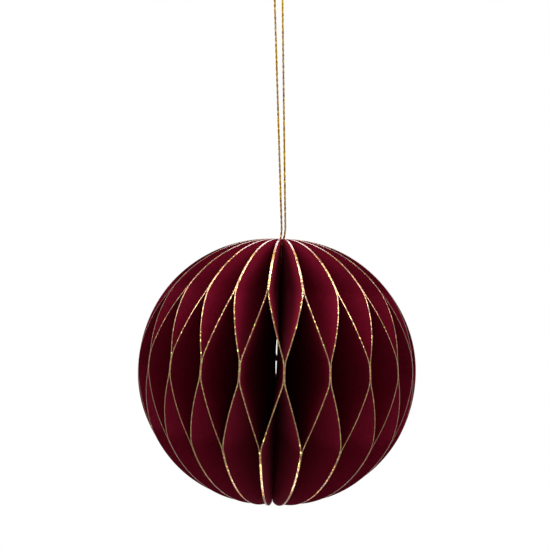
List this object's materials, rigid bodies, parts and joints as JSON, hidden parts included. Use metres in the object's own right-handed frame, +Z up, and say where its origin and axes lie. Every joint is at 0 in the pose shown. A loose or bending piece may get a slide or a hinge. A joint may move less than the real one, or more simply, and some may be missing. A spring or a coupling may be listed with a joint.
{
  "type": "kusudama paper ball",
  "caption": "Hanging paper ball: half-disc card leaves fanned round a hollow core and glued at alternate bands into tall cells, on a looped metallic cord.",
  "frame": {"origin": "centre of the ball's bounding box, on the core axis halfway up the leaves", "axes": "+Z up as it hangs, along the cord; -Y towards the viewer of the picture; the ball's own axis leans 2.6 degrees from +Z, as it hangs in the picture"},
  "size_m": [0.0798, 0.0799, 0.1475],
  "materials": {
    "burgundy_card": "matt dyed card with gilded cut edges",
    "metallic_cord": "twisted gold metallic thread"
  },
  "bodies": {
    "root": {"leaf_01": "burgundy_card", "leaf_02": "burgundy_card", "leaf_03": "burgundy_card", "leaf_04": "burgundy_card", "leaf_05": "burgundy_card", "leaf_06": "burgundy_card", "leaf_07": "burgundy_card", "leaf_08": "burgundy_card", "leaf_09": "burgundy_card", "leaf_10": "burgundy_card", "leaf_11": "burgundy_card", "leaf_12": "burgundy_card", "leaf_13": "burgundy_card", "leaf_14": "burgundy_card", "leaf_15": "burgundy_card", "leaf_16": "burgundy_card", "leaf_17": "burgundy_card", "leaf_18": "burgundy_card", "leaf_19": "burgundy_card", "leaf_20": "burgundy_card", "leaf_21": "burgundy_card", "leaf_22": "burgundy_card", "leaf_23": "burgundy_card", "leaf_24": "burgundy_card", "leaf_25": "burgundy_card", "leaf_26": "burgundy_card", "leaf_27": "burgundy_card", "leaf_28": "burgundy_card", "leaf_29": "burgundy_card", "leaf_30": "burgundy_card", "leaf_31": "burgundy_card", "leaf_32": "burgundy_card", "leaf_33": "burgundy_card", "leaf_34": "burgundy_card", "leaf_35": "burgundy_card", "leaf_36": "burgundy_card", "leaf_37": "burgundy_card", "leaf_38": "burgundy_card", "leaf_39": "burgundy_card", "leaf_40": "burgundy_card", "leaf_41": "burgundy_card", "leaf_42": "burgundy_card", "leaf_43": "burgundy_card", "leaf_44": "burgundy_card", "hanging_cord": "metallic_cord", "cord_knot": "metallic_cord"}
  },
  "joints": []
}
